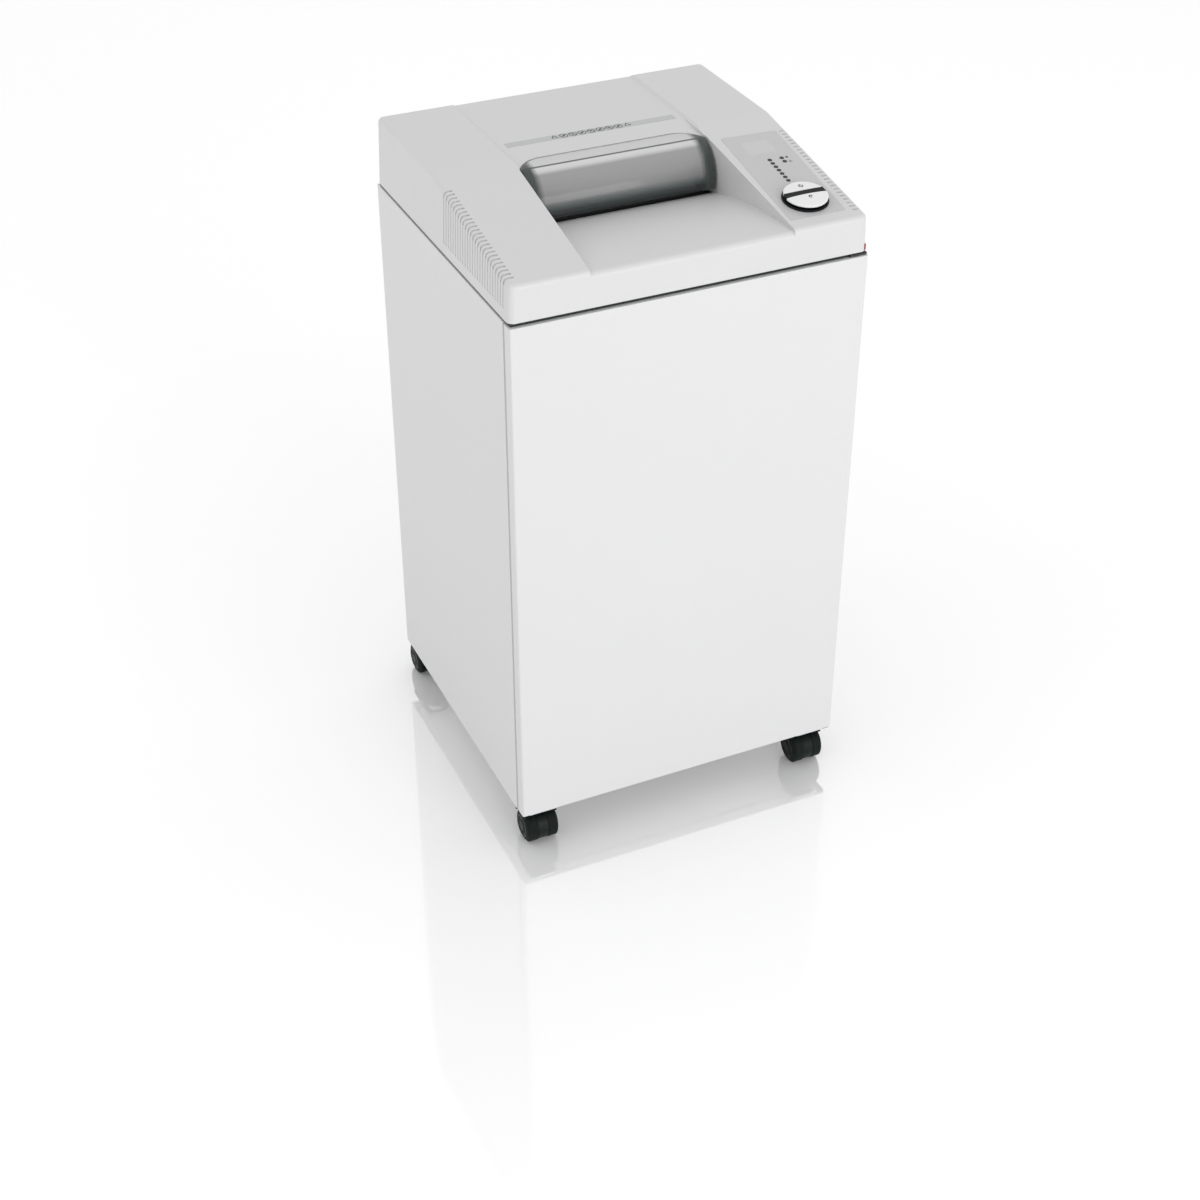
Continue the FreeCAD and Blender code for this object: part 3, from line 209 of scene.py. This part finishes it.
def smoked():
    """Tinted acrylic, paler towards its hinge where the light comes through, with dark ends: painted light
    and shade, dark at its foot, a painted highlight and a dark line at its crease, painted shade at its
    ends.
    """
    made = Shading("smoked_flap", (0.10, 0.10, 0.105), 0.05)
    made.set(Alpha=0.66, IOR=1.49, Specular_IOR_Level=0.35)
    made.polish(made.noise(40), 0.10, 0.18)
    height, inside = made.height_and_inside(PALE_HALF - 0.0065, PALE_HALF + 0.0025)
    # Painted light and shade up the flap: dark at its foot, paler upwards, a painted highlight under the
    # crease, a dark line on it, pale above.
    body = made.bands(height, PAINTED_LIGHT_LOW, PAINTED_LIGHT_HIGH, [
        (0.861, 0.008), (0.863, 0.045), (0.870, 0.055), (0.876, 0.15), (0.884, 0.30), (0.896, 0.37),
        (0.9135, 0.41), (0.9165, 0.76), (0.9191, 0.80), (0.9195, 0.05), (0.9200, 0.05), (0.9203, 0.74),
    ])
    # Past the pale middle the flap's ends are painted shade.
    made.blend(inside, (0.075, 0.090, 0.085), body)
    return made


def light_guide():
    """Dark moulding that is pale above the feed slot, short of its ends; the dark below and at its ends is
    painted shade of the slot.
    """
    made = Shading("throat_plastic", (0.012, 0.013, 0.013), 0.45)
    pale_from = 0.8515
    height, inside = made.height_and_inside(PALE_HALF, PALE_HALF + 0.001)
    above = made.spread(height, pale_from, pale_from + 0.002)
    # Pale only above the slot's edge and inside its ends; the dark elsewhere is painted shade.
    made.blend(made.maths("MULTIPLY", above, inside), made.colour, (0.62, 0.62, 0.63))
    made.bump(made.noise(1500, 2), 0.00005, 0.3)
    return made


def make_palette():
    """Every material of the model, by a short name."""
    dull = {"Specular_IOR_Level": 0.14}
    white = moulded("white_caps", (0.76, 0.76, 0.76), 0.16, depth=0.00001)
    white.set(Coat_Weight=0.6, Coat_Roughness=0.05)
    return {
        "cover": moulded("cover_plastic", (0.60, 0.60, 0.60), 0.42),
        "board": melamine(),
        "black": moulded("black_plastic", (0.005, 0.007, 0.007), 0.36).set(**dull),
        "dark": moulded("dark_plastic", (0.022, 0.025, 0.025), 0.5),
        "throat": light_guide(),
        "castor": moulded("castor_nylon", (0.003, 0.007, 0.006), 0.38).set(**dull),
        "tyre": moulded("tyre_rubber", (0.003, 0.007, 0.006), 0.6, 900, 0.00008).set(**dull),
        "white": white,
        "red": moulded("red_rocker", (0.40, 0.003, 0.004), 0.30).set(Specular_IOR_Level=0.25),
        "foil": moulded("panel_foil", (0.50, 0.50, 0.508), 0.28, 2600),
        "label": moulded("panel_label", (0.53, 0.53, 0.535), 0.25, 2600),
        "strip": moulded("strip_foil", (0.44, 0.46, 0.455), 0.3, 2600),
        "ink": moulded("printed_ink", (0.016, 0.016, 0.018), 0.4, 2600, 0.00001),
        "lamp": moulded("lamp_glass", (0.003, 0.003, 0.004), 0.14, depth=0.00001),
        "seal": moulded("door_seal", (0.50, 0.50, 0.50), 0.6, 900),
        "tray": moulded("tray_paint", (0.007, 0.013, 0.013), 0.4, 1200).set(Specular_IOR_Level=0.35),
        "hinge": moulded("hinge_paint", (0.014, 0.015, 0.015), 0.35, 1200),
        "steel": metal("plated_steel", (0.60, 0.61, 0.62), 0.3),
        "ground": metal("machined_steel", (0.44, 0.45, 0.47), 0.28, (0.15, 1, 1)),
        "bronze": metal("bronze", (0.52, 0.33, 0.13), 0.35),
        "alloy": metal("cast_alloy", (0.62, 0.63, 0.64), 0.5),
        "sheet": moulded("galvanised_sheet", (0.40, 0.42, 0.43), 0.4, 300, 0.0001),
        "motor": moulded("motor_enamel", (0.05, 0.055, 0.06), 0.35, 600),
        "circuit": moulded("circuit_laminate", (0.02, 0.12, 0.05), 0.3, 900),
        "bin": moulded("bin_plastic", (0.20, 0.205, 0.21), 0.42),
        "nylon": moulded("natural_nylon", (0.62, 0.60, 0.53), 0.4),
        "smoke": smoked(),
    }


def named(start="", end=""):
    """The CAD nodes whose names start and end so."""
    return [name for name in nodes if name.startswith(start) and name.endswith(end)]


def paint_nodes(palette):
    """Gives every CAD node its material."""
    groups = {
        "cover": ["head_cover"],
        "board": [*named("cabinet_"), "door"],
        "black": ["button_socket", "rocker_core", "mains_switch_frame", "door_sensor", "mains_inlet"],
        "throat": ["feed_throat"],
        "dark": ["paper_sensors", "stripper_combs", "flap_pins"],
        "castor": named(end="_castor_fork"),
        "tyre": named(end="_wheel"),
        "white": ["rocker_caps"],
        "red": ["mains_rocker"],
        "foil": ["control_panel_foil"],
        "strip": ["hazard_strip"],
        "lamp": ["lamp_windows"],
        "tray": ["base_tray"],
        "hinge": ["lower_hinge_plate", "upper_hinge_plate"],
        "steel": [
            "castor_plates", "castor_screws", "door_strike", "left_side_plate", "right_side_plate",
            "tie_rods",
        ],
        "ground": [
            "front_cutter", "rear_cutter", "front_timing_gear", "rear_timing_gear", "main_gear",
            "idler_gear", "idler_axle", "motor_rotor",
        ],
        "bronze": ["cutter_bearings"],
        "alloy": ["motor_end_bells", "run_capacitor"],
        "sheet": ["drop_chute"],
        "motor": ["motor_can"],
        "circuit": ["control_board"],
        "bin": ["shred_bin"],
        "nylon": ["door_bushes", "door_catch"],
        "smoke": ["flap"],
    }
    for key, names in groups.items():
        for name in names:
            for slot in nodes[name].material_slots:
                slot.material = palette[key].material


def soften_edges():
    """A small machined or moulded radius on the hard edges of the CAD pieces."""
    widths = {
        0.0006: [*named("cabinet_"), "shred_bin", "door_catch", "door_sensor", "mains_inlet"],
        0.0004: [
            "door", "lower_hinge_plate", "upper_hinge_plate", "door_strike", "castor_plates", "base_tray",
            "mains_switch_frame", "mains_rocker", "rocker_core", "left_side_plate", "right_side_plate",
            "drop_chute", "feed_throat",
        ],
        0.0003: ["rocker_caps", "button_socket", "flap", "control_board"],
        0.0001: ["control_panel_foil", "lamp_windows", "hazard_strip"],
    }
    for width, names in widths.items():
        for name in names:
            weld = nodes[name].modifiers.new("weld", "WELD")
            weld.merge_threshold = 0.00001
            bevel = nodes[name].modifiers.new("bevel", "BEVEL")
            bevel.width = width
            bevel.segments = 2
            bevel.limit_method = "ANGLE"
            bevel.angle_limit = SHARP


# ---------------------------------------------------------------- pieces


def add_piece(name, bm, shading, body, smooth=False):
    """A new object from mesh code, in place, that rides on a body."""
    bmesh.ops.recalc_face_normals(bm, faces=bm.faces)
    mesh = bpy.data.meshes.new(name)
    bm.to_mesh(mesh)
    bm.free()
    made = bpy.data.objects.new(name, mesh)
    bpy.context.scene.collection.objects.link(made)
    mesh.materials.append(shading.material)
    if smooth:
        mesh.shade_smooth()
        mesh.set_sharp_from_angle(angle=SHARP)
    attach(made, body)


def upright(x, y, height):
    """A point of a flat shape that is raised along Z."""
    return Vector((x, y, height))


def rectangle(left, near, right, far):
    """The corners of a rectangle."""
    return [(left, near), (right, near), (right, far), (left, far)]


def plate(bm, outline, low, high, place):
    """A flat shape with a thickness; place turns (x, y, height) into a point."""
    rings = [[bm.verts.new(place(x, y, height)) for x, y in outline] for height in (low, high)]
    bm.faces.new(rings[0])
    bm.faces.new(rings[1])
    for index in range(len(outline)):
        before = index - 1
        bm.faces.new((rings[0][before], rings[0][index], rings[1][index], rings[1][before]))


def band(bm, inner, outer, low, high, place, closed=True):
    """A strip between two lines of points, with a thickness."""
    rows = [[bm.verts.new(place(x, y, h)) for x, y in line] for line, h in (
        (inner, low), (outer, low), (outer, high), (inner, high)
    )]
    count = len(inner)
    for index in range(count if closed else count - 1):
        after = (index + 1) % count
        for row in range(4):
            a, b = rows[row], rows[(row + 1) % 4]
            bm.faces.new((a[index], a[after], b[after], b[index]))
    if not closed:
        for index in (0, count - 1):
            bm.faces.new([row[index] for row in rows])


def arc(centre, radius, start=0, end=FULL_TURN, steps=40):
    """Points round a circle; a full turn doesn't repeat its first point."""
    last = steps if end - start == FULL_TURN else steps - 1
    angles = [math.radians(start + (end - start) * index / last) for index in range(steps)]
    return [(centre[0] + radius * math.cos(angle), centre[1] + radius * math.sin(angle)) for angle in angles]


def lathe(bm, profile, matrix, steps=40):
    """Turns a line of (along, radius) points about the local Z axis."""
    rings = []
    for along, radius in profile:
        points = arc((0, 0), radius, steps=steps) if radius else [(0, 0)]
        rings.append([bm.verts.new(matrix @ Vector((x, y, along))) for x, y in points])
    for low, high in zip(rings, rings[1:]):
        for index in range(steps):
            pair = (index, (index + 1) % steps)
            corners = [low[i % len(low)] for i in pair] + [high[i % len(high)] for i in reversed(pair)]
            bm.faces.new(list(dict.fromkeys(corners)))


def slope_place(x, y, height):
    """A point on the sloping cheek, raised square to it."""
    level = LIP_TOP + SLOPE * (y - HEAD_FRONT)
    return Vector((x, y - height * SLOPE / SLANT, level + height / SLANT))


def cap_place(x, y, height):
    """A point over the domed caps, from local coordinates about the button's centre."""
    dome = CAP_TOP - (x**2 + y**2) / (2 * CAP_DOME)
    return slope_place(BUTTON[0] + x, BUTTON[1] + y / SLANT, dome + height)


def strip_marks(palette):
    """Plain marks along the strip: seven barred rings, each with its own small centre, and two triangles."""
    (low_x, low_y, _), (high_x, high_y, top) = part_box("hazard_strip")
    middle, centre_y = (low_x + high_x) / 2, (low_y + high_y) / 2
    count, pitch, radius, line = 9, 0.0132, 0.0060, 0.0013
    bm = bmesh.new()

    def place(x, y, height):
        return Vector((x, y, top + height))

    for index in range(count):
        centre = (middle + (index - count // 2) * pitch, centre_y)
        if index in (0, count - 1):
            corners = arc(centre, radius, 90, 450, 3)
            band(bm, arc(centre, radius - 2 * line, 90, 450, 3), corners, 0, PRINT, place)
            continue
        band(bm, arc(centre, radius - line), arc(centre, radius), 0, PRINT, place)
        bar = Matrix.Rotation(math.radians(45 if index % 2 else -45), 2)
        reach = radius - line / 2
        ends = [Vector(centre) + bar @ Vector(end) for end in rectangle(-reach, -line / 2, reach, line / 2)]
        plate(bm, ends, 0, PRINT, place)
        plate(bm, arc(centre, 0.0022, steps=4 + index), 0, PRINT / 2, place)
    add_piece("strip_marks", bm, palette["ink"], "cabinet")


def cap_marks(palette):
    """Generic on and reverse marks on the two half caps, placed from the button's centre."""
    bm = bmesh.new()
    x, y = 0.0014, 0.0170
    band(bm, arc((x, y), 0.0019, 125, 415), arc((x, y), 0.0034, 125, 415), 0, PRINT, cap_place, closed=False)
    half = 0.0008
    plate(bm, rectangle(x - half, y + 0.0005, x + half, y + 0.0043), 0, PRINT, cap_place)
    x, y = 0.0017, -0.0092
    band(bm, arc((x, y), 0.0013, 30, 300), arc((x, y), 0.0028, 30, 300), 0, PRINT, cap_place, closed=False)
    plate(bm, arc((x + 0.0018, y + 0.0012), 0.0020, 30, 390, 3), 0, PRINT, cap_place)
    add_piece("cap_marks", bm, palette["ink"], "rocker_button")


def panel_marks(palette):
    """A printed dot and ring beside the side lamps, and a plain paler field above the lamp row."""
    top = FOIL + PRINT
    column = 0.2107
    bm = bmesh.new()
    plate(bm, arc((column, -0.0885), 0.0019, steps=24), FOIL, top, slope_place)
    ring = (column, -0.0988)
    band(bm, arc(ring, 0.0019, steps=24), arc(ring, 0.0024, steps=24), FOIL, top, slope_place)
    plate(bm, arc(ring, 0.0008, steps=12), FOIL, top, slope_place)
    add_piece("panel_signs", bm, palette["ink"], "cabinet")
    bm = bmesh.new()
    plate(bm, rectangle(0.1655, -0.072, 0.206, -0.041), FOIL, top, slope_place)
    add_piece("panel_field", bm, palette["label"], "cabinet")


def castor_details(palette):
    """Dished hub caps on the outside of every wheel, with a ring of small webs."""
    dish = [
        (-0.0004, 0.0176), (0.0006, 0.0172), (0.0007, 0.0150), (0.0001, 0.0140),
        (0.0001, 0.0075), (0.0009, 0.0068), (0.0010, 0.0040), (0.0006, 0),
    ]
    web = [(0.0068, -0.0006), (0.0146, -0.0009), (0.0146, 0.0009), (0.0068, 0.0006)]
    webs = 6
    for name in named(end="_wheel"):
        low, high = (Vector(corner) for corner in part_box(name))
        middle = (low + high) / 2
        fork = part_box(name.rsplit("_", 2)[0] + "_castor_fork")
        outward = 1 if middle.x > (fork[0][0] + fork[1][0]) / 2 else -1
        face = high.x if outward > 0 else low.x
        turn = Matrix.Rotation(math.radians(90 * outward), 4, "Y")
        matrix = Matrix.Translation((face, middle.y, middle.z)) @ turn
        bm = bmesh.new()
        lathe(bm, dish, matrix)
        for index in range(webs):
            spoke = matrix @ Matrix.Rotation(math.radians(FULL_TURN * index / webs), 4, "Z")
            plate(bm, web, 0, 0.0007, lambda x, y, h, m=spoke: m @ Vector((x, y, h)))
        add_piece(f"{name}_hub_cap", bm, palette["castor"], name, smooth=True)


def door_seal(palette):
    """A pale strip down the left edge, in the gap between the door and the side wall."""
    (wall_x, wall_y, _), (_, _, top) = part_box("cabinet_left_side")
    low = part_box("door")[0][2]
    inset, width, proud, margin = 0.0008, 0.0038, 0.0022, 0.002
    bm = bmesh.new()
    outline = rectangle(wall_x + inset, wall_y - proud, wall_x + inset + width, wall_y)
    plate(bm, outline, low + margin, top - margin, upright)
    add_piece("door_seal", bm, palette["seal"], "cabinet")


def screw_row(bm, places, turn, radius=0.0034):
    """Countersunk screw heads with a round socket, seen from the local Z axis."""
    profile = [
        (-0.0006, radius), (0.0002, radius * 0.96), (0.0004, radius * 0.8), (0.0004, radius * 0.42),
        (-0.0002, radius * 0.36), (-0.0002, 0),
    ]
    for place in places:
        lathe(bm, profile, Matrix.Translation(place) @ turn, 24)


def bin_details(palette):
    """Ribs down the walls of the bin, and on its front a raised ring round a dark plate for a grip, the
    plate painted shade in place of the grip's hollow.
    """
    (left, front, low), (right, back, top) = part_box("shred_bin")
    rim, depth, half = 0.006, 0.0035, 0.005
    left, right, front, back = left + rim, right - rim, front + rim, back - rim
    foot, head = low + 0.03, top - 0.13
    profile = [(-half, 0), (-half / 2, depth), (half / 2, depth), (half, 0)]
    bm = bmesh.new()
    for centre in (-0.15, -0.05, 0.05, 0.15):
        for wall, side in ((front, -1), (back, 1)):
            plate(bm, [(centre + along, wall + side * out) for along, out in profile], foot, head, upright)
    for centre in (-0.13, -0.01, 0.11):
        for wall, side in ((left, -1), (right, 1)):
            plate(bm, [(wall + side * out, centre + along) for along, out in profile], foot, head, upright)
    add_piece("bin_ribs", bm, palette["bin"], "cabinet")

    level, reach = top - 0.075, 0.065

    def long_round(radius):
        right_end = arc((reach, level), radius, -90, 90, 16)
        return [*right_end, *arc((-reach, level), radius, 90, 270, 16)]

    def on_front(across, up, height):
        return Vector((across, front - height, up))

    bm = bmesh.new()
    band(bm, long_round(0.017), long_round(0.022), 0, 0.0045, on_front)
    add_piece("bin_grip_frame", bm, palette["bin"], "cabinet")
    # A dark plate within the ring: painted shade of a grip's hollow.
    bm = bmesh.new()
    plate(bm, long_round(0.017), 0, 0.0008, on_front)
    add_piece("bin_grip_painted_shade", bm, palette["dark"], "cabinet")


def inside_screws(palette):
    """A screw under the upper hinge plate and two through the strike on the door."""
    (low_x, _, low_z), (high_x, high_y, _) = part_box("upper_hinge_plate")
    down = Matrix.Rotation(math.radians(180), 4, "X")
    bm = bmesh.new()
    screw_row(bm, [((low_x + high_x) / 2, high_y - 0.012, low_z)], down, 0.003)
    add_piece("hinge_screws", bm, palette["steel"], "cabinet", smooth=True)
    (low_x, _, low_z), (high_x, high_y, high_z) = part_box("door_strike")
    inward = Matrix.Rotation(math.radians(-90), 4, "X")
    inset, sunk = 0.006, 0.0003
    places = [(x, high_y - sunk, (low_z + high_z) / 2) for x in (low_x + inset, high_x - inset)]
    bm = bmesh.new()
    screw_row(bm, places, inward, 0.0028)
    add_piece("strike_screws", bm, palette["steel"], "door", smooth=True)


def back_details(palette):
    """Screws down both edges and along the foot of the back board."""
    low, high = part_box("cabinet_back")
    rear = Matrix.Rotation(math.radians(-90), 4, "X")
    edge, first, pitch = 0.009, 0.06, 0.155
    heights = [low[2] + first + pitch * step for step in range(5)]
    places = [(x, high[1], z) for z in heights for x in (low[0] - edge, high[0] + edge)]
    places += [(x, high[1], low[2] + edge) for x in (-0.12, 0, 0.12)]
    bm = bmesh.new()
    screw_row(bm, places, rear)
    add_piece("back_screws", bm, palette["steel"], "cabinet", smooth=True)


# ---------------------------------------------------------------- stage


def make_stage():
    """A white floor under an even white sky, with a large front light and a small left one."""
    bpy.ops.mesh.primitive_plane_add(size=60, location=(0, 0, 0))
    floor = bpy.context.object
    floor.name = "floor"
    floor.data.materials.append(floor_material())

    world = bpy.data.worlds.new("studio")
    bpy.context.scene.world = world
    world.use_nodes = True
    background = world.node_tree.nodes["Background"]
    background.inputs["Color"].default_value = (1, 1, 1, 1)
    background.inputs["Strength"].default_value = 0.93

    softbox("key", place=(0.9, -4.2, 1.2), target=(0, 0, 0.4), size=2.4, power=56)
    softbox("left_fill", place=(-3.2, 0.2, 3.0), target=(0, 0, 0.6), size=2.0, power=9)


def floor_material():
    """White gloss laminate that mirrors the foot of the machine and turns matt further away."""
    made = Shading("floor", (0.95, 0.95, 0.955), 0.5)
    made.set(Emission_Color=(1, 1, 1, 1), Emission_Strength=0.085)
    mirror = made.node("ShaderNodeBsdfGlossy", Color=(0.97, 0.97, 0.975, 1), Roughness=0.06)
    length = made.node("ShaderNodeVectorMath", Vector=made.place)
    length.operation = "LENGTH"
    near, far, most, least = 0.28, 1.4, 0.38, 0.04
    mix = made.node("ShaderNodeMixShader", Fac=made.spread(length.outputs["Value"], near, far, most, least))
    made.feed(mix.inputs[1], made.shader.outputs[0])
    made.feed(mix.inputs[2], mirror.outputs[0])
    made.feed(made.tree.nodes["Material Output"].inputs["Surface"], mix.outputs[0])
    return made.material


def softbox(name, place, target, size, power):
    """A square area light that faces a target."""
    data = bpy.data.lights.new(name, "AREA")
    data.shape = "SQUARE"
    data.size = size
    data.energy = power
    light = bpy.data.objects.new(name, data)
    light.location = place
    light.rotation_euler = (Vector(target) - Vector(place)).to_track_quat("-Z", "Y").to_euler()
    bpy.context.scene.collection.objects.link(light)


make_camera()
palette = make_palette()
paint_nodes(palette)
soften_edges()
strip_marks(palette)
cap_marks(palette)
panel_marks(palette)
castor_details(palette)
door_seal(palette)
bin_details(palette)
inside_screws(palette)
back_details(palette)
make_stage()
bpy.context.scene.view_settings.view_transform = "Standard"
